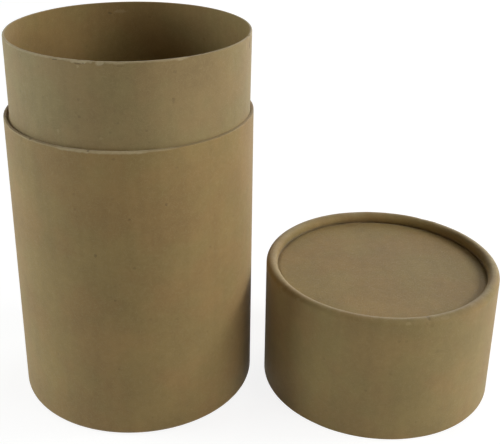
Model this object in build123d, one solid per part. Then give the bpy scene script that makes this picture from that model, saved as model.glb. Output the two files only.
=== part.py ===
from build123d import *
import os

# Paperboard container: a body tube with a thinner neck tube glued inside it, and a lid that slides over the neck.
# The body's foot and the lid's top are the same tube, curled inward over a punched disc.
# Millimetres, +Z up. The origin is the centre of the container's foot, and the lid stands beside it along +X.

# Boards
tube_wall = 1.1
neck_wall = 0.8
disc_thickness = 1.5

# Container
neck_bore_diameter = 82.0
body_height = 106.5
neck_exposure = 28.0

# Lid
lid_height = 48.0
lid_spacing = 5.5

# Curled ends: the width of the roll, the sides that stand for its round section, and the depth of the disc behind it
curl_width = 4.1
roll_sides = 16
disc_recess = 3.5

# Clearances, on the radius: round the neck, for glue in the body and to slide in the lid, and round the discs
neck_clearance = 0.1
disc_clearance = 0.1

# Radii that follow
neck_bore_radius = neck_bore_diameter / 2
neck_radius = neck_bore_radius + neck_wall
tube_bore_radius = neck_radius + neck_clearance
tube_radius = tube_bore_radius + tube_wall
disc_radius = tube_bore_radius - disc_clearance
roll_radius = curl_width / 2

# Heights and places that follow
neck_foot = disc_recess + disc_thickness
neck_length = body_height + neck_exposure - neck_foot
lid_axis = 2 * tube_radius + lid_spacing


def roll_outline(radius, mode):
    """The round section of the roll, with a flat side down, so that it stands on a narrow ring."""
    return RegularPolygon(radius, roll_sides, major_radius=False, rotation=180 / roll_sides, mode=mode)


def curled_tube(height):
    """A tube on its curled end: the board turns in under its own wall and back up to the disc."""
    with BuildPart() as tube:
        with BuildSketch(Plane.XZ):
            with Locations((tube_radius - roll_radius, roll_radius)):
                roll_outline(roll_radius, Mode.ADD)
                roll_outline(roll_radius - tube_wall, Mode.SUBTRACT)
                Rectangle(curl_width, roll_radius, align=(Align.CENTER, Align.MIN), mode=Mode.SUBTRACT)
            with Locations((tube_radius, roll_radius)):
                Rectangle(tube_wall, height - roll_radius, align=(Align.MAX, Align.MIN))
            with Locations((tube_radius - curl_width, roll_radius)):
                Rectangle(tube_wall, disc_recess - roll_radius, align=(Align.MIN, Align.MIN))
        revolve(axis=Axis.Z)
    return tube.part


def straight_tube(outer_radius, bore_radius, height):
    """A tube with square-cut ends, standing on the origin."""
    with BuildPart() as tube:
        with BuildSketch():
            Circle(outer_radius)
            Circle(bore_radius, mode=Mode.SUBTRACT)
        extrude(amount=height)
    return tube.part


def disc():
    """A punched disc, lying on the origin."""
    return Cylinder(disc_radius, disc_thickness, align=(Align.CENTER, Align.CENTER, Align.MIN))


def on_lid(piece):
    """Turn a piece over, so that its foot becomes the lid's top, and stand it at the lid's place."""
    return Pos(lid_axis, 0, lid_height) * Rot(180, 0, 0) * piece


pieces = {
    "body_tube": curled_tube(body_height),
    "neck_tube": Pos(0, 0, neck_foot) * straight_tube(neck_radius, neck_bore_radius, neck_length),
    "base_disc": Pos(0, 0, disc_recess) * disc(),
    "lid_tube": on_lid(curled_tube(lid_height)),
    "lid_disc": on_lid(Pos(0, 0, disc_recess) * disc()),
}

os.makedirs("parts", exist_ok=True)
for name, piece in pieces.items():
    export_step(piece, f"parts/{name}.step")
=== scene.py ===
import math

import bmesh
import bpy
import numpy as np
from mathutils import Matrix, Vector


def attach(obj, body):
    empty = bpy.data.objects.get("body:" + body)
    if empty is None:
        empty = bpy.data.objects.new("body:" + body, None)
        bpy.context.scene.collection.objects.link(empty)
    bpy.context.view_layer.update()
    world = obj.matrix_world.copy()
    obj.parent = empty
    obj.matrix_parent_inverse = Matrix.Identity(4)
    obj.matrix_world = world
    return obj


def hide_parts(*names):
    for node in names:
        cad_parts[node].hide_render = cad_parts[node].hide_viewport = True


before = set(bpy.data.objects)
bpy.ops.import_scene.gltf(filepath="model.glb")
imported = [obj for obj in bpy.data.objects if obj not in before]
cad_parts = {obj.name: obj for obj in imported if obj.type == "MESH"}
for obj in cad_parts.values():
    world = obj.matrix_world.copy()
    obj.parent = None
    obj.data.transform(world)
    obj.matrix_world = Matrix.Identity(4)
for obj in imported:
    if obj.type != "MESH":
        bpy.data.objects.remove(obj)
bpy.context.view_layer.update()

# A paperboard container and its lid, in kraft paper. The container's axis is z, and the lid stands beside it
# along +X. Lengths are in millimetres, except for the camera's place and the light, which are in metres.
MM = 0.001
TUBE_RADIUS = 43.0
TUBE_WALL = 1.1
NECK_WALL = 0.8
CLEARANCE = 0.1
CURL_WIDTH = 4.1
DISC_RECESS = 3.5
DISC_THICKNESS = 1.5
BODY_HEIGHT = 106.5
NECK_EXPOSURE = 28.0
LID_HEIGHT = 48.0
LID_SPACING = 5.5
OUTER_BEVEL = 0.34
INNER_BEVEL = 0.18

# Lengths that follow
BORE_RADIUS = TUBE_RADIUS - TUBE_WALL
NECK_RADIUS = BORE_RADIUS - CLEARANCE
DISC_RADIUS = BORE_RADIUS - CLEARANCE
ROLL_RADIUS = CURL_WIDTH / 2
LEG_RADIUS = TUBE_RADIUS - CURL_WIDTH
NECK_FOOT = DISC_RECESS + DISC_THICKNESS
MOUTH_HEIGHT = BODY_HEIGHT + NECK_EXPOSURE
LID_AXIS = 2 * TUBE_RADIUS + LID_SPACING

# How finely the meshes are cut: copies of an outline round its axis, steps of its arcs, rows along a wall and
# near its ends, rows of the neck counted from the body's rim, and radii of a disc, close together where the
# curl's leg presses on it. Points of a disc within the weld's reach of each other are joined.
AROUND = 720
OUTER_BEVEL_STEPS = 4
INNER_BEVEL_STEPS = 3
CUT_STEPS = 4
ROLL_STEPS = 28
ROLL_BORE_STEPS = 12
WALL_STEP = 6.0
END_ROWS = (0.0, 0.25, 0.5, 0.75, 1.0, 1.3, 1.8, 2.5)
NECK_ROWS = (-1.4, -1.1, -0.9, -0.7, -0.5, -0.35, -0.2, -0.05, 0.1, 0.4)
DISC_ROWS = (*np.linspace(0, 36, 21), 36.9, *np.linspace(37.3, 38.9, 6), 39.4, DISC_RADIUS)
WELD_REACH = 0.0001

# Camera: its place in metres, its turns in radians, its lens and sensor in millimetres
CAMERA_PLACE = (0.04366, -0.29685, 0.20794)
CAMERA_YAW = 0.00587
CAMERA_DOWN = 0.39417
CAMERA_ROLL = 0.0138
CAMERA_LENS = 64.76
CAMERA_SENSOR = 36.0
CAMERA_SHIFT = -0.11
CAMERA_CLIP = (0.01, 20.0)

# Light: the world's strength on the object, the floor's greys and glow, and the lamps' target, in metres
AMBIENT = 0.035
FLOOR_GREY = 0.9
FLOOR_SEEN_GREY = 0.3
FLOOR_GLOW = 0.86
FLOOR_REACH = 6.0
FLOOR_DROP = 0.00005
LAMP_TARGET = (0.04, 0.0, 0.06)
LAMP_DISTANCE = 1.1
WHITE = (1, 1, 1)
COOL_WHITE = (0.92, 0.99, 1.0)

# Lamps: name, angle from the front towards +X, elevation, width, power, colour, in degrees, metres and watts
LAMPS = [
    ("lamp_left", -85, 14, 0.6, 7.3, COOL_WHITE),
    ("lamp_front_right", 64, 18, 0.8, 5.6, WHITE),
    ("lamp_right", 93, 30, 0.3, 3.3, WHITE),
    ("lamp_back", 152, 17, 0.7, 5.7, WHITE),
]


def linear(red, green, blue):
    """A colour given as it looks on screen, 0 to 255, as the shader wants it."""
    parts = [c / 255 for c in (red, green, blue)]
    return tuple(c / 12.92 if c <= 0.04045 else ((c + 0.055) / 1.055) ** 2.4 for c in parts) + (1.0,)


# Colours, and the tones by which the pieces' papers differ
KRAFT = linear(154, 131, 86)
KRAFT_RED = linear(154, 127, 83)
KRAFT_GREEN = linear(150, 131, 85)
KRAFT_LIGHT = linear(184, 163, 118)
KRAFT_DARK = linear(112, 92, 60)
SPECK = linear(70, 56, 36)
RAW_EDGE = linear(196, 178, 140)
# Painted shade and bounce light: the tube's inside is multiplied darker and yellower
INSIDE_PAINTED_SHADE = (1.0, 0.93, 0.77, 1.0)
BODY_TONE = (1.02, 0.97, 0.87)
NECK_TONE = (0.97, 1.0, 1.04)
LID_TONE = (1.06, 1.06, 1.0)
DISC_TONE = (1.05, 1.0, 0.75)

# Noises of the paper: scale to the millimetre, detail, roughness
CLOUDS = (0.045, 3.0)
TINT = (0.06, 2.0, 0.6)
MOTTLE = (0.33, 3.0, 0.6)
GRAIN = (3.2, 2.0, 0.6)
RAGGED = (0.9, 3.0, 0.7)

# Drawn-out noises of the paper: size in millimetres, detail. Fibre layers: turn in degrees, shift.
STREAKS = ((3.0, 60.0, 1.0), 2.0)
FIBRES = ((2.4, 0.16, 1.0), 1.0)
DARK_FIBRES = ((1.8, 0.14, 1.0), 1.0)
FIBRE_LAYERS = ((12, 0.0), (74, 31.0), (-48, 67.0))
DARK_FIBRE_TURN = 33

# Ranges of the paper: from a low and a high value of the noise, to 0 and 1 or to the two values that follow
TINT_RANGE = (0.38, 0.62)
SHADE_RANGE = (0.2, 0.5, 0.84, 1.16)
FIBRE_RANGE = (0.60, 0.72)
DARK_FIBRE_RANGE = (0.64, 0.74)
SPECK_RANGE = (0.01, 0.07, 1.0, 0.0)
WORN_RANGE = (0.25, 0.6, 0.7, 1.0)
MARK_RANGE = (0.5, 1.0)
MARK_BORDER_RANGE = (0.3, 0.7, -0.35, 0.35)
ROUGHNESS_RANGE = (0.3, 0.7, 0.60, 0.74)

# Strengths in the paper. Shares: of clouds, mottle, streaks and grain, and of grain, fibres and mottle.
TINT_EVENNESS = 0.4
SHADE_SHARES = (0.30, 0.16, 0.10, 0.14)
RELIEF_SHARES = (0.5, 0.35, 0.8)
RELIEF_STRENGTH = 0.5
RELIEF_DEPTH = 0.12
FIBRE_STRENGTH = 0.28
DARK_FIBRE_STRENGTH = 0.25
SPECK_STRENGTH = 0.16
SPECK_CELLS = 0.09
SPECK_RARITY = 0.76
SPECULAR = 0.25
SHEEN = 0.15
SHEEN_ROUGHNESS = 0.5

# Marks in the paper, some of them painted shade: angle from the front towards +X, in degrees, and height of
# the middle, half width, half height, colour, strength
BODY_MARKS_AND_SHADE = [
    (-9.2, 70.4, 0.61, 0.74, SPECK, 0.3),
    (6.2, 83.6, 0.54, 0.54, SPECK, 0.3),
    (21.8, 87.7, 0.54, 0.68, SPECK, 0.32),
    (7.3, 66.2, 0.68, 0.54, SPECK, 0.22),
    (-1.7, 54.3, 0.54, 0.54, SPECK, 0.22),
    (0.7, 104.2, 0.68, 0.54, SPECK, 0.2),
    (26.8, 99.7, 0.94, 0.54, SPECK, 0.18),
    # Painted shade in the rim's chips at -40 and -10 degrees
    (-40.0, 106.3, 0.5, 0.4, KRAFT_DARK, 0.6),
    (-10.0, 106.3, 0.5, 0.4, KRAFT_DARK, 0.6),
    # Painted shade on the rim's cut edge at its left and right sides
    (-84.0, 106.4, 10.0, 0.5, KRAFT_DARK, 0.55),
    (92.0, 106.4, 14.0, 0.5, KRAFT_DARK, 0.45),
]
NECK_MARKS_AND_SHADE = [
    (-13.4, 122.2, 0.81, 0.54, SPECK, 0.16),
    (-13.5, 116.8, 0.68, 0.54, SPECK, 0.2),
    (2.8, 115.2, 1.08, 0.54, SPECK, 0.16),
    (26.7, 121.7, 0.81, 0.94, SPECK, 0.24),
    (-24.5, 110.9, 0.7, 0.9, KRAFT_LIGHT, 0.35),
    (-4.5, 110.2, 0.8, 0.7, KRAFT_LIGHT, 0.3),
    (-12.9, 132.6, 0.6, 0.6, KRAFT_LIGHT, 0.6),
    # Painted shadow under the frayed outer ply and in its chips, just below the mouth
    (-23.8, 133.9, 1.4, 0.25, KRAFT_DARK, 0.8),
    (-12.7, 133.45, 1.3, 0.3, KRAFT_DARK, 0.7),
    (-10.5, 133.6, 0.4, 0.25, KRAFT_DARK, 0.6),
    (5.0, 133.2, 1.4, 0.3, KRAFT_DARK, 0.3),
    # Painted shade in the nick at the right of the mouth
    (79.4, 131.2, 0.8, 1.8, KRAFT_DARK, 0.9),
    (74.0, 131.8, 0.5, 2.2, KRAFT_LIGHT, 0.5),
    (-168.0, 131.0, 3.2, 0.9, KRAFT_LIGHT, 0.35),
    (-163.0, 130.4, 0.94, 0.54, SPECK, 0.35),
]
LID_MARKS = [
    (4.8, 47.0, 1.2, 0.5, KRAFT_LIGHT, 0.4),
    (14.8, 47.8, 0.9, 0.45, SPECK, 0.3),
    (23.0, 47.4, 2.0, 0.5, KRAFT_LIGHT, 0.3),
    (-63.0, 46.8, 1.0, 0.5, KRAFT_LIGHT, 0.35),
    (-49.0, 46.8, 1.2, 0.5, KRAFT_LIGHT, 0.35),
    (1.3, 40.4, 0.7, 0.7, SPECK, 0.16),
    (4.8, 40.4, 0.7, 0.7, SPECK, 0.16),
    (20.0, 35.0, 2.16, 0.81, SPECK, 0.12),
    (-12.0, 20.0, 0.68, 0.81, SPECK, 0.16),
]

# Seeds of the ripples. The neck has the body's, so that the two walls bend together.
BODY_SEED = 11
BODY_RIM_SEED = 12
FOOT_SEED = 15
MOUTH_SEED = 22
GLUE_SEED = 27
LID_SEED = 31
LID_RIM_SEED = 32
LID_ROLL_SEED = 35
DISC_SEED = 41
GROOVE_SEED = 42

# Ripples: the most waves that go round a tube, how many sets of waves are added up, the sets' heights, and
# how far above its typical height their sum counts as a peak
TUBE_WAVES = 4
DISC_WAVES = 4
GLUE_WAVES = 30
GROOVE_WAVES = 30
RIM_WAVES = 24
FRAY_WAVES = 140
FRAY_COUNT = 32
CURL_WAVES = 26
PUCKER_WAVES = 90
PUCKER_COUNT = 22
USUAL_COUNT = 9
WAVE_HEIGHTS = (0.5, 1.0)
RIPPLE_PEAK = 1.6

# Tubes: how uneven they are, the shortest wave along them, and how far they are held in to stay inside the
# solids' box
UNEVEN = 0.05
TUBE_WAVE_LENGTH = 160
LID_WAVE_LENGTH = 120
TUBE_INSET = 0.07
NECK_INSET = 0.09

# The lap seam up the back, on the outer face only: its angle in degrees, the lap's edge, the step beside it
# and the way that the step takes to fade
SEAM_ANGLE = 171.0
SEAM_EDGE = 0.36
SEAM_STEP = 0.045
SEAM_FADE = 7.0
OUTER_FACE = 0.5

# Cut rims. Fray: start, end, strength, soft margin. Tear: how ragged and how soft the fray's lower border is.
# Chips: angle, width, depth. Angles are in degrees from the front towards +X.
MOUTH_FRAY = [
    (-85, -26, 0.4, 8),
    (-22, -16, 0.5, 2),
    (-15.5, -7.5, 0.9, 1.5),
    (-4.6, -2.3, 1.2, 1.0),
    (-0.8, 8, 0.7, 1.5),
    (8.5, 24, 0.4, 4),
    (26, 33, 0.6, 2),
]
BODY_FRAY = [(-70, -25, 0.3, 10), (-22, 12, 0.75, 6), (14, 22, 0.4, 8)]
LID_FRAY = [(-45, -35, 0.3, 5)]
MOUTH_TEAR = (0.4, 0.25)
RIM_TEAR = (0.15, 0.5)
MOUTH_CHIPS = [
    (-31, 0.9, 0.06),
    (-24, 0.6, 0.14),
    (-12.6, 0.5, 0.12),
    (-5.5, 0.5, 0.1),
    (4, 1.2, 0.05),
    (41.8, 0.45, 0.12),
    (79, 0.8, 0.25),
]
BODY_CHIPS = [(-40, 0.5, 0.1), (-21, 1.6, 0.08), (-10, 0.5, 0.1), (27, 1.2, 0.08), (48, 0.8, 0.08)]

# The outer ply that frays, how far down and how deep it is worn, how far the rim sinks, and how bare it gets
PLY_DEPTH = 0.6
PLY_FADE = 0.3
EDGE_REACH = 0.12
FRAY_REACH = 0.72
FRAY_DEPTH = 0.16
FRAY_SINK = 0.02
RIM_SINK = 0.03
RIM_SINK_REACH = 1.6
BARE_LEAST = 0.28
BARE_BY_FRAY = 0.6
BARE_MOST = 0.85

# Curled ends. Dents: angle, width, depth. Rub: start, end and soft margin of the crest's most worn stretch.
LID_DENTS = [
    (-63, 1.0, 0.12),
    (-49, 1.4, 0.12),
    (-20, 2.0, 0.08),
    (15, 0.9, 0.12),
    (31, 1.8, 0.09),
    (150, 2.2, 0.1),
]
CREST_RUB = (-172, -112, 14)

# How far a curled end's unevenness reaches from its crest, where its inner side starts, how deep the parts of
# the unevenness are, and how pale the crest gets, by rubbed wear and by a painted highlight
CURL_REACH = 2.6
CURL_FADE = 1.4
CURL_INSIDE = 1.4
CURL_INSIDE_FADE = 1.6
PUCKER_DEPTH = 0.05
CURL_UNEVEN = 0.05
CREST_SINK = 0.03
PUCKER_SINK = 0.02
DENT_SINK = 0.7
CREST_SINK_REACH = 2.2
CREST_WEAR_AND_HIGHLIGHT_REACH = 1.3
CREST_WEAR_AND_HIGHLIGHT = 0.04
CREST_WEAR_AND_HIGHLIGHT_BY_WAVE = 0.08
CREST_WEAR_AND_HIGHLIGHT_BY_PUCKER = 0.06
CREST_WEAR_AND_HIGHLIGHT_MOST = 0.5
CREST_RUB_GAIN = 3
FOOT_WEAR_AND_HIGHLIGHT = 0.6

# The neck in the body: how slack it is at its left, the share of that which the glue leaves, how far it leans
# to the right at the mouth, how deep the glue lies under the body's rim, and how far it bulges
NECK_SLACK = 0.78
SLACK_CURVE = 1.6
SLACK_HELD = 0.1
NECK_LEAN = 0.34
GLUE_DEPTH = 0.55
GLUE_UNEVEN = 0.16
GLUE_LIMITS = (-0.1, 1)
GLUE_FADE = 0.5
GLUE_BULGE = 0.12

# Discs: how far they dish, and the groove that the curl's leg presses into them
DISH = 0.10
DISH_UNEVEN = 0.05
DISH_WAVE_LENGTH = 60
DISH_MARGIN = 3
DISH_FADE = 22
DISC_GROOVE = 0.26
GROOVE_FADE = 1.4
GROOVE_UNEVEN = 0.4


# Camera

def make_camera():
    """The photograph's viewpoint: in front of the tube, looking down on the lid, and turned a little."""
    data = bpy.data.cameras.new("camera")
    data.sensor_fit = "HORIZONTAL"
    data.sensor_width = CAMERA_SENSOR
    data.lens = CAMERA_LENS
    data.shift_y = CAMERA_SHIFT
    data.clip_start, data.clip_end = CAMERA_CLIP
    camera = bpy.data.objects.new("camera", data)
    bpy.context.scene.collection.objects.link(camera)
    place = Matrix.Translation(CAMERA_PLACE)
    yaw = Matrix.Rotation(CAMERA_YAW, 4, "Z")
    pitch = Matrix.Rotation(math.pi / 2 - CAMERA_DOWN, 4, "X")
    roll = Matrix.Rotation(CAMERA_ROLL, 4, "Z")
    camera.matrix_world = place @ yaw @ pitch @ roll
    bpy.context.scene.camera = camera


# Outlines: points of (radius, height), counterclockwise, so that faces look outward

def arc(centre, radius, start, end, steps):
    """Points of an arc, angles in degrees."""
    angles = np.radians(np.linspace(start, end, steps + 1))
    return [(centre[0] + radius * math.cos(a), centre[1] + radius * math.sin(a)) for a in angles]


def wall(radius, start, end, extra=()):
    """Points up or down a wall, close together near its two ends, with extra ones at given heights."""
    length = abs(end - start)
    middle = np.arange(END_ROWS[-1] + WALL_STEP, length - END_ROWS[-1] - WALL_STEP / 2, WALL_STEP)
    sign = 1 if end > start else -1
    added = [abs(height - start) for height in extra]
    places = sorted([*END_ROWS, *middle.tolist(), *added, *(length - row for row in END_ROWS)])
    return [(radius, start + sign * place) for place in places]


def cut_edge(outer, inner, height):
    """The softened corners of a tube's cut rim, from its outer wall to its inner one."""
    across = np.linspace(outer - OUTER_BEVEL, inner + INNER_BEVEL, CUT_STEPS + 1)[1:-1]
    return (
        arc((outer - OUTER_BEVEL, height - OUTER_BEVEL), OUTER_BEVEL, 0, 90, OUTER_BEVEL_STEPS)
        + [(r, height) for r in across]
        + arc((inner + INNER_BEVEL, height - INNER_BEVEL), INNER_BEVEL, 90, 180, INNER_BEVEL_STEPS)
    )


def curled_outline(height):
    """A closed loop round a tube's wall, which is curled in at its foot and back up to the disc."""
    centre = (TUBE_RADIUS - ROLL_RADIUS, ROLL_RADIUS)
    return (
        wall(TUBE_RADIUS, ROLL_RADIUS, height - OUTER_BEVEL)[:-1]
        + cut_edge(TUBE_RADIUS, BORE_RADIUS, height)
        + wall(BORE_RADIUS, height - INNER_BEVEL, ROLL_RADIUS)[1:-1]
        + arc(centre, ROLL_RADIUS - TUBE_WALL, 0, -180, ROLL_BORE_STEPS)
        + [(LEG_RADIUS + TUBE_WALL, DISC_RECESS), (LEG_RADIUS, DISC_RECESS)]
        + arc(centre, ROLL_RADIUS, -180, 0, ROLL_STEPS)[:-1]
    )


def neck_outline():
    """A closed loop round a straight wall, with a cut rim and extra rows where it comes out of the body."""
    bore = NECK_RADIUS - NECK_WALL
    rows = [BODY_HEIGHT + row for row in NECK_ROWS]
    return (
        wall(NECK_RADIUS, NECK_FOOT, MOUTH_HEIGHT - OUTER_BEVEL, rows)[:-1]
        + cut_edge(NECK_RADIUS, bore, MOUTH_HEIGHT)
        + wall(bore, MOUTH_HEIGHT - INNER_BEVEL, NECK_FOOT)[1:]
    )


def disc_outline(foot):
    """A disc's lower side and its upper one, from the axis out and back to it."""
    return [(r, foot) for r in DISC_ROWS] + [(r, foot + DISC_THICKNESS) for r in reversed(DISC_ROWS)]


def turned_over(outline, height):
    """The same outline upside down, still counterclockwise."""
    return [(r, height - z) for r, z in reversed(outline)]


# Unevenness and wear: phi is the angle from the front towards +X, in radians, r the radius and z the height

def ripple(phi, z, seed, waves, length=math.inf, count=USUAL_COUNT):
    """Smooth unevenness, -1 to 1, in waves that close on themselves round the axis.

    They slant along z where a length is given, and otherwise run straight along it.
    """
    rng = np.random.default_rng(seed)
    total = np.zeros_like(phi)
    for _ in range(count):
        around = int(rng.integers(max(waves // 8, 1), waves + 1))
        along = rng.uniform(-1, 1) * 2 * math.pi / length
        total += rng.uniform(*WAVE_HEIGHTS) * np.cos(around * phi + along * z + rng.uniform(0, 2 * math.pi))
    typical = sum(WAVE_HEIGHTS) / 2 * math.sqrt(count)
    return np.clip(total / (typical * RIPPLE_PEAK), -1, 1)


def smooth(x):
    """An even step from 0 to 1, with soft ends, as x goes from 0 to 1."""
    x = np.clip(x, 0, 1)
    return x * x * (3 - 2 * x)


def away_from(phi, angle):
    """The angle between phi and another one, both in radians, -pi to pi."""
    return np.mod(phi - angle + math.pi, 2 * math.pi) - math.pi


def near(phi, angle, width):
    """1 at an angle in degrees, fading to 0 over a width in millimetres."""
    across = away_from(phi, math.radians(angle)) * TUBE_RADIUS
    return np.exp(-((across / width) ** 2))


def between(phi, start, end, margin):
    """1 between two angles in degrees, fading to 0 over a soft margin."""
    middle, half = math.radians((start + end) / 2), math.radians((end - start) / 2)
    outside = np.abs(away_from(phi, middle)) - half
    return smooth(1 - outside / math.radians(margin))


def nicks(phi, table):
    """The depth of chips or dents round a tube."""
    return sum(depth * near(phi, angle, width) for angle, width, depth in table)


def facing(end):
    """1 for an end of a tube that faces up, and -1 for one on the ground, at height 0."""
    return 1 if end > 0 else -1


def uneven(phi, z, seed, length, inset):
    """A tube's general unevenness."""
    return UNEVEN * ripple(phi, z, seed, TUBE_WAVES, length) - inset


def seam(phi, r):
    """The lap of the outer paper, up the back: a low step on the outer wall."""
    away = np.mod(phi - math.radians(SEAM_ANGLE), 2 * math.pi) * TUBE_RADIUS
    step = -SEAM_STEP * smooth(1 - away / SEAM_FADE) * (away > SEAM_EDGE)
    return np.where(r > TUBE_RADIUS - OUTER_FACE, step, 0.0)


def rub(phi, r, z, top, outer, seed, fray, tear, chips):
    """Rubs back the outer ply under a cut rim where it is frayed, and nicks the rim at each chip."""
    below = np.abs(top - z)
    outside = smooth((r - outer + PLY_DEPTH) / PLY_FADE)
    rough = ripple(phi, z, seed, FRAY_WAVES, count=FRAY_COUNT)
    ragged, soft = tear
    torn = np.zeros_like(r)
    for start, end, strength, margin in fray:
        torn = np.maximum(torn, between(phi, start, end, margin) * strength)
    reach = EDGE_REACH + torn * (FRAY_REACH + ragged * rough)
    worn = smooth((reach - below) / soft + 0.5) * outside
    bare = np.clip(BARE_LEAST + BARE_BY_FRAY * torn, 0, BARE_MOST)
    torn = np.clip(torn, 0, 1)
    sink = RIM_SINK * (1 + ripple(phi, z, seed + 1, RIM_WAVES)) + FRAY_SINK * torn * (1 + rough)
    sink = sink + nicks(phi, chips)
    edge = smooth(1 - below / RIM_SINK_REACH)
    worn_or_cut = np.maximum(worn, smooth(1 - below / EDGE_REACH))
    return r - FRAY_DEPTH * worn * torn, z - facing(top) * edge * sink, bare * worn_or_cut


def rolled(phi, r, z, crest, seed, dents):
    """Puckers a curled end on its inner side, where the board is pressed together, and dents it. Its crest is
    paled by rubbed wear and by a painted highlight.
    """
    away = np.abs(z - crest)
    on_roll = smooth(1 - (away - CURL_REACH) / CURL_FADE)
    inside = smooth((TUBE_RADIUS - CURL_INSIDE - r) / CURL_INSIDE_FADE)
    pucker = ripple(phi, z, seed, PUCKER_WAVES, count=PUCKER_COUNT)
    waver = ripple(phi, z, seed + 1, CURL_WAVES)
    push = nicks(phi, dents)
    puckered = PUCKER_DEPTH * (1 + pucker) + CURL_UNEVEN * waver
    r = r - on_roll * inside * puckered - on_roll * (1 - inside) * push
    sink = CREST_SINK * (1 + waver) + PUCKER_SINK * (1 + pucker) + DENT_SINK * push
    # The crest pales by rubbed wear and by a painted highlight along the whole crest
    rubbed = (1 + CREST_RUB_GAIN * between(phi, *CREST_RUB)) / 2
    bare = CREST_WEAR_AND_HIGHLIGHT + CREST_WEAR_AND_HIGHLIGHT_BY_WAVE * (1 + waver) * rubbed + CREST_WEAR_AND_HIGHLIGHT_BY_PUCKER * pucker
    worn = smooth(1 - away / CREST_WEAR_AND_HIGHLIGHT_REACH) * np.clip(bare, 0, CREST_WEAR_AND_HIGHLIGHT_MOST)
    return r, z - facing(crest) * smooth(1 - away / CREST_SINK_REACH) * sink, worn


def body_shape(phi, r, z):
    """The body: frayed at its rim and puckered at its foot, which stays level because it stands on it."""
    push = uneven(phi, z, BODY_SEED, TUBE_WAVE_LENGTH, TUBE_INSET) + seam(phi, r)
    r, z, raw = rub(phi, r, z, BODY_HEIGHT, TUBE_RADIUS, BODY_RIM_SEED, BODY_FRAY, RIM_TEAR, BODY_CHIPS)
    r, _, crest = rolled(phi, r, z, 0.0, FOOT_SEED, [])
    return r + push, z, np.maximum(raw, FOOT_WEAR_AND_HIGHLIGHT * crest)


def neck_shape(phi, r, z):
    """The neck: frayed at its mouth, slack in the body at its left, and leaning a little to the right."""
    push = uneven(phi, z, BODY_SEED, TUBE_WAVE_LENGTH, NECK_INSET)
    left = (1 - np.sin(phi)) / 2
    lean = (1 - left) ** 2 * np.clip((z - BODY_HEIGHT) / NECK_EXPOSURE, 0, 1)
    glue = GLUE_DEPTH * left + GLUE_UNEVEN * ripple(phi, z, GLUE_SEED, GLUE_WAVES)
    clear = smooth((z - BODY_HEIGHT + np.clip(glue, *GLUE_LIMITS)) / GLUE_FADE + 0.5)
    slack = NECK_SLACK * left ** SLACK_CURVE * (SLACK_HELD + (1 - SLACK_HELD) * clear)
    push = push - slack + GLUE_BULGE * (1 - clear) + NECK_LEAN * lean
    r, z, raw = rub(phi, r, z, MOUTH_HEIGHT, NECK_RADIUS, MOUTH_SEED, MOUTH_FRAY, MOUTH_TEAR, MOUTH_CHIPS)
    return r + push, z, raw


def lid_shape(phi, r, z):
    """The lid: frayed at its rim, on the ground, and puckered and dented at its curled top, whose crest is
    paled by rubbed wear and a painted highlight.
    """
    push = uneven(phi, z, LID_SEED, LID_WAVE_LENGTH, TUBE_INSET) + seam(phi, r)
    r, z, raw = rub(phi, r, z, 0.0, TUBE_RADIUS, LID_RIM_SEED, LID_FRAY, RIM_TEAR, [])
    r, z, crest = rolled(phi, r, z, LID_HEIGHT, LID_ROLL_SEED, LID_DENTS)
    return r + push, z, np.maximum(raw, crest)


def disc_shape(phi, r, z):
    """A disc that dishes by a hair, faintly wavy, and pressed thinner along the curl's leg."""
    half = DISC_THICKNESS / 2
    middle = z.min() + half
    inward = smooth((DISC_RADIUS - DISH_MARGIN - r) / DISH_FADE)
    dish = DISH + DISH_UNEVEN * ripple(phi, r, DISC_SEED, DISC_WAVES, DISH_WAVE_LENGTH)
    groove = 1 + GROOVE_UNEVEN * ripple(phi, r, GROOVE_SEED, GROOVE_WAVES)
    pressed = DISC_GROOVE * smooth((r - LEG_RADIUS) / GROOVE_FADE + 1) * groove
    squeezed = (z - middle) * (1 - pressed / half)
    return r, middle + squeezed - inward * dish, np.zeros_like(r)


# Meshes

def lathe(name, outline, shape, closed=True):
    """Turns an outline round the z axis, from the front towards +X. shape moves the points, wears them and
    gives curled crests a painted highlight.

    Each point keeps how pale it is made, by wear and by the painted highlight on curled crests, and whether
    it lies within the tube.
    """
    radius, height = np.array(outline).T
    phi = np.linspace(0, 2 * math.pi, AROUND, endpoint=False)
    angle = np.repeat(phi, len(radius)).reshape(AROUND, -1)
    r, z, worn = shape(angle, np.tile(radius, (AROUND, 1)), np.tile(height, (AROUND, 1)))
    points = np.stack([r * np.sin(angle), -r * np.cos(angle), z], axis=2).reshape(-1, 3) * MM
    mesh = bpy.data.meshes.new(name)
    mesh.from_pydata(points.tolist(), [], lathe_faces(len(radius), closed))
    within = np.broadcast_to(radius < radius.max() - NECK_WALL / 2, worn.shape)
    for key, values in (("worn", worn), ("within", within)):
        attribute = mesh.attributes.new(key, "FLOAT", "POINT")
        attribute.data.foreach_set("value", values.astype(np.float32).ravel())
    if not closed:
        weld(mesh)
    mesh.polygons.foreach_set("use_smooth", [True] * len(mesh.polygons))
    piece = bpy.data.objects.new(name, mesh)
    bpy.context.scene.collection.objects.link(piece)
    return piece


def lathe_faces(steps, closed):
    """The faces between neighbouring copies of an outline of so many points. An open one ends on the axis."""
    last = steps if closed else steps - 1
    faces = []
    for i in range(AROUND):
        a, b = i * steps, (i + 1) % AROUND * steps
        faces += [(a + j, b + j, b + (j + 1) % steps, a + (j + 1) % steps) for j in range(last)]
    return faces


def weld(mesh):
    """Joins the points that meet on the axis."""
    work = bmesh.new()
    work.from_mesh(mesh)
    bmesh.ops.remove_doubles(work, verts=work.verts, dist=WELD_REACH * MM)
    work.to_mesh(mesh)
    work.free()


# Materials

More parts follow.
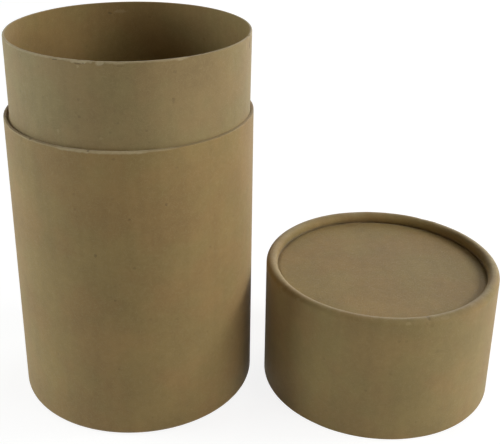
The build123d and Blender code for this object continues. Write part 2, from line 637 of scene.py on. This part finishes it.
class Nodes:
    """Adds nodes to one tree and links them."""

    def __init__(self, tree):
        self.tree = tree

    def add(self, kind, inputs=(), **settings):
        """Adds a node. An input is a socket to link or a value to set."""
        node = self.tree.nodes.new(kind)
        for key, value in settings.items():
            setattr(node, key, value)
        for key, value in dict(inputs).items():
            if isinstance(value, bpy.types.NodeSocket):
                self.tree.links.new(value, node.inputs[key])
            else:
                node.inputs[key].default_value = value
        return node

    def math(self, operation, a, b):
        return self.add("ShaderNodeMath", {0: a, 1: b}, operation=operation).outputs[0]

    def vector(self, operation, inputs, output="Vector"):
        return self.add("ShaderNodeVectorMath", inputs, operation=operation).outputs[output]

    def weighted(self, values, shares):
        """The sum of some values, each times its share."""
        products = [self.math("MULTIPLY", value, share) for value, share in zip(values, shares)]
        total = products[0]
        for product in products[1:]:
            total = self.math("ADD", total, product)
        return total

    def range(self, value, low, high, to_low=0.0, to_high=1.0):
        """A value brought from one range to another, with soft ends."""
        inputs = {0: value, 1: low, 2: high, 3: to_low, 4: to_high}
        return self.add("ShaderNodeMapRange", inputs, interpolation_type="SMOOTHSTEP").outputs[0]

    def mix(self, factor, a, b, blend="MIX"):
        node = self.add("ShaderNodeMix", {0: factor, 6: a, 7: b}, data_type="RGBA", blend_type=blend)
        return node.outputs[2]

    def noise(self, vector, scale, detail, roughness=0.5):
        inputs = {"Vector": vector, "Scale": scale, "Detail": detail, "Roughness": roughness}
        return self.add("ShaderNodeTexNoise", inputs).outputs[0]

    def drawn_out(self, vector, turn, size, detail):
        """Noise drawn out to a size, and turned by an angle in degrees."""
        inputs = {"Vector": vector, "Rotation": (0, 0, math.radians(turn)), "Scale": size}
        mapped = self.add("ShaderNodeMapping", inputs, vector_type="TEXTURE").outputs[0]
        return self.noise(mapped, 1.0, detail)

    def attribute(self, name):
        return self.add("ShaderNodeAttribute", attribute_name=name).outputs["Fac"]


def new_material(name):
    """A material with an empty tree, and the nodes to fill it with."""
    material = bpy.data.materials.new(name)
    material.use_nodes = True
    material.node_tree.nodes.clear()
    return material, Nodes(material.node_tree)


def toned(colour, tone):
    """A colour times a tone, part by part."""
    return tuple(c * t for c, t in zip(colour, tone)) + (1.0,)


def unrolled(n, place):
    """A tube's surface laid flat: millimetres round it from the front, and its height."""
    x, y, z = n.add("ShaderNodeSeparateXYZ", {0: place}).outputs
    turn = n.math("ARCTAN2", x, n.math("MULTIPLY", y, -1.0))
    return n.add("ShaderNodeCombineXYZ", {0: n.math("MULTIPLY", turn, TUBE_RADIUS), 1: z}).outputs[0]


def board(n, place, flat, mottle, grain, tone):
    """The plain board: two tints of kraft, shaded by clouds, mottle, streaks and grain."""
    tint = n.range(n.noise(place, *TINT), *TINT_RANGE)
    colour = n.mix(tint, toned(KRAFT_RED, tone), toned(KRAFT_GREEN, tone))
    colour = n.mix(TINT_EVENNESS, colour, toned(KRAFT, tone))
    parts = (n.noise(place, *CLOUDS), mottle, n.drawn_out(flat, 0, *STREAKS), grain)
    shade = n.range(n.weighted(parts, SHADE_SHARES), *SHADE_RANGE)
    return n.vector("SCALE", {0: colour, "Scale": shade})


def pale_fibres(n, flat):
    """Fibres in three directions, each layer shifted so that it doesn't repeat another."""
    layers = []
    for turn, shift in FIBRE_LAYERS:
        shifted = n.vector("ADD", {0: flat, 1: (shift, shift, 0)})
        layers.append(n.range(n.drawn_out(shifted, turn, *FIBRES), *FIBRE_RANGE))
    return n.math("MAXIMUM", n.math("MAXIMUM", layers[0], layers[1]), layers[2])


def faint_specks(n, flat):
    """A small speck in some of the cells that the paper is divided into."""
    inputs = {"Vector": flat, "Scale": SPECK_CELLS}
    cells = n.add("ShaderNodeTexVoronoi", inputs, voronoi_dimensions="2D").outputs
    draw = n.add("ShaderNodeSeparateColor", {0: cells["Color"]}).outputs[0]
    chosen = n.math("GREATER_THAN", draw, SPECK_RARITY)
    return n.math("MULTIPLY", n.range(cells["Distance"], *SPECK_RANGE), chosen)


def marked(n, colour, flat, ragged, mark):
    """A colour with one mark or painted shade laid over it, ragged at its border."""
    angle, height, half_width, half_height, mark_colour, strength = mark
    centre = (math.radians(angle) * TUBE_RADIUS, height, 0)
    offset = n.vector("SUBTRACT", {0: flat, 1: centre})
    offset = n.vector("MULTIPLY", {0: offset, 1: (1 / half_width, 1 / half_height, 0)})
    away = n.vector("LENGTH", {0: offset}, "Value")
    away = n.math("ADD", away, n.range(ragged, *MARK_BORDER_RANGE))
    return n.mix(n.range(away, *MARK_RANGE, strength, 0.0), colour, mark_colour)


def kraft(name, surface, tone, marks=(), shaded_inside=False):
    """Brown kraft paper: clouds, streaks, fibres, specks, marks and painted shade, and paler where the mesh
    is worn or a curled crest has a painted highlight.
    """
    material, n = new_material(name)
    place = n.vector("SCALE", {0: n.add("ShaderNodeTexCoord").outputs["Object"], "Scale": 1 / MM})
    flat = unrolled(n, place) if surface == "wall" else place
    mottle, grain, ragged = n.noise(place, *MOTTLE), n.noise(flat, *GRAIN), n.noise(flat, *RAGGED)
    fibres = pale_fibres(n, flat)
    dark_fibres = n.range(n.drawn_out(flat, DARK_FIBRE_TURN, *DARK_FIBRES), *DARK_FIBRE_RANGE)
    colour = board(n, place, flat, mottle, grain, tone)
    colour = n.mix(n.math("MULTIPLY", fibres, FIBRE_STRENGTH), colour, KRAFT_LIGHT)
    colour = n.mix(n.math("MULTIPLY", dark_fibres, DARK_FIBRE_STRENGTH), colour, KRAFT_DARK)
    colour = n.mix(n.math("MULTIPLY", faint_specks(n, flat), SPECK_STRENGTH), colour, SPECK)
    # Painted shade and bounce light: darker and yellower where the wall lies within the tube
    if shaded_inside:
        colour = n.mix(n.attribute("within"), colour, INSIDE_PAINTED_SHADE, "MULTIPLY")
    # The worn attribute pales the paper by wear, and on curled crests by a painted highlight too
    worn = n.math("MULTIPLY", n.attribute("worn"), n.range(ragged, *WORN_RANGE))
    colour = n.mix(worn, colour, RAW_EDGE)
    for mark in marks:
        colour = marked(n, colour, flat, ragged, mark)
    finish(n, colour, grain, n.weighted((grain, fibres, mottle), RELIEF_SHARES))
    return material


def finish(n, colour, grain, relief):
    """The paper's surface: matt, with a faint sheen and a fine relief."""
    bump = {"Strength": RELIEF_STRENGTH, "Distance": RELIEF_DEPTH * MM, "Height": relief}
    inputs = {
        "Base Color": colour,
        "Roughness": n.range(grain, *ROUGHNESS_RANGE),
        "Normal": n.add("ShaderNodeBump", bump).outputs[0],
        "Specular IOR Level": SPECULAR,
        "Sheen Weight": SHEEN,
        "Sheen Roughness": SHEEN_ROUGHNESS,
    }
    shader = n.add("ShaderNodeBsdfPrincipled", inputs)
    n.add("ShaderNodeOutputMaterial", {"Surface": shader.outputs[0]})


# Pieces

def dress(piece, body, node, material):
    """Gives a piece its material and its body, and hides the solid that it stands for."""
    piece.data.materials.append(material)
    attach(piece, body)
    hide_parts(node)


def make_body_tube():
    """The body's tube, standing on its curled end."""
    tube = lathe("body_board", curled_outline(BODY_HEIGHT), body_shape)
    paper = kraft("kraft_body", "wall", BODY_TONE, BODY_MARKS_AND_SHADE)
    dress(tube, "container", "body_tube", paper)


def make_neck_tube():
    """The inner tube, from the base disc to the mouth, darker and yellower inside by painted shade and bounce
    light.
    """
    tube = lathe("neck_board", neck_outline(), neck_shape)
    paper = kraft("kraft_neck", "wall", NECK_TONE, NECK_MARKS_AND_SHADE, shaded_inside=True)
    dress(tube, "container", "neck_tube", paper)


def make_lid_tube():
    """The lid's tube, with its curled end up."""
    tube = lathe("lid_board", turned_over(curled_outline(LID_HEIGHT), LID_HEIGHT), lid_shape)
    tube.location.x = LID_AXIS * MM
    paper = kraft("kraft_lid", "wall", LID_TONE, LID_MARKS)
    dress(tube, "lid", "lid_tube", paper)


def make_discs():
    """The two discs behind the curls: the container's base and the lid's top."""
    paper = kraft("kraft_discs", "flat", DISC_TONE)
    base = lathe("base_board", disc_outline(DISC_RECESS), disc_shape, closed=False)
    dress(base, "container", "base_disc", paper)
    lid_foot = LID_HEIGHT - DISC_RECESS - DISC_THICKNESS
    top = lathe("lid_top_board", disc_outline(lid_foot), disc_shape, closed=False)
    top.location.x = LID_AXIS * MM
    dress(top, "lid", "lid_disc", paper)


# Light, floor and background

def shown(n):
    """1 for what the camera sees directly, in a mirror or through glass, and 0 for light on the object."""
    rays = n.add("ShaderNodeLightPath").outputs
    seen = n.math("MAXIMUM", rays["Is Camera Ray"], rays["Is Glossy Ray"])
    return n.math("MAXIMUM", seen, rays["Is Transmission Ray"])


def make_world():
    """A white background that lights the object only faintly."""
    world = bpy.data.worlds.new("world")
    bpy.context.scene.world = world
    world.use_nodes = True
    n = Nodes(world.node_tree)
    background = n.tree.nodes["Background"]
    background.inputs["Color"].default_value = (*WHITE, 1)
    level = n.add("ShaderNodeMapRange", {0: shown(n), 3: AMBIENT, 4: 1.0})
    n.tree.links.new(level.outputs[0], background.inputs["Strength"])


def matt(n, grey):
    """An even grey surface."""
    return n.add("ShaderNodeBsdfDiffuse", {"Color": (grey, grey, grey, 1)}).outputs[0]


def floor_material():
    """White where the camera sees it, but for the object's shadow, and plain matt for light on the object."""
    material, n = new_material("floor_white")
    glow = n.add("ShaderNodeEmission", {"Color": (*WHITE, 1), "Strength": FLOOR_GLOW}).outputs[0]
    seen = n.add("ShaderNodeAddShader", {0: matt(n, FLOOR_SEEN_GREY), 1: glow}).outputs[0]
    shader = n.add("ShaderNodeMixShader", {0: shown(n), 1: matt(n, FLOOR_GREY), 2: seen}).outputs[0]
    n.add("ShaderNodeOutputMaterial", {"Surface": shader})
    return material


def make_floor():
    """A square of floor, a hair below the pieces that stand on it."""
    mesh = bpy.data.meshes.new("floor")
    corners = [(x * FLOOR_REACH, y * FLOOR_REACH, 0) for x, y in ((-1, -1), (1, -1), (1, 1), (-1, 1))]
    mesh.from_pydata(corners, [], [(0, 1, 2, 3)])
    mesh.materials.append(floor_material())
    floor = bpy.data.objects.new("floor", mesh)
    floor.location.z = -FLOOR_DROP
    bpy.context.scene.collection.objects.link(floor)


def make_lamp(name, azimuth, elevation, width, power, colour):
    """A soft square lamp, facing the part."""
    data = bpy.data.lights.new(name, "AREA")
    data.size = width
    data.energy = power
    data.color = colour
    lamp = bpy.data.objects.new(name, data)
    bpy.context.scene.collection.objects.link(lamp)
    turn, rise = math.radians(azimuth), math.radians(elevation)
    away = Vector((math.cos(rise) * math.sin(turn), -math.cos(rise) * math.cos(turn), math.sin(rise)))
    lamp.location = Vector(LAMP_TARGET) + away * LAMP_DISTANCE
    lamp.rotation_euler = away.to_track_quat("Z", "Y").to_euler()


make_camera()
make_body_tube()
make_neck_tube()
make_lid_tube()
make_discs()
make_world()
make_floor()
for lamp in LAMPS:
    make_lamp(*lamp)
bpy.context.scene.view_settings.view_transform = "Standard"
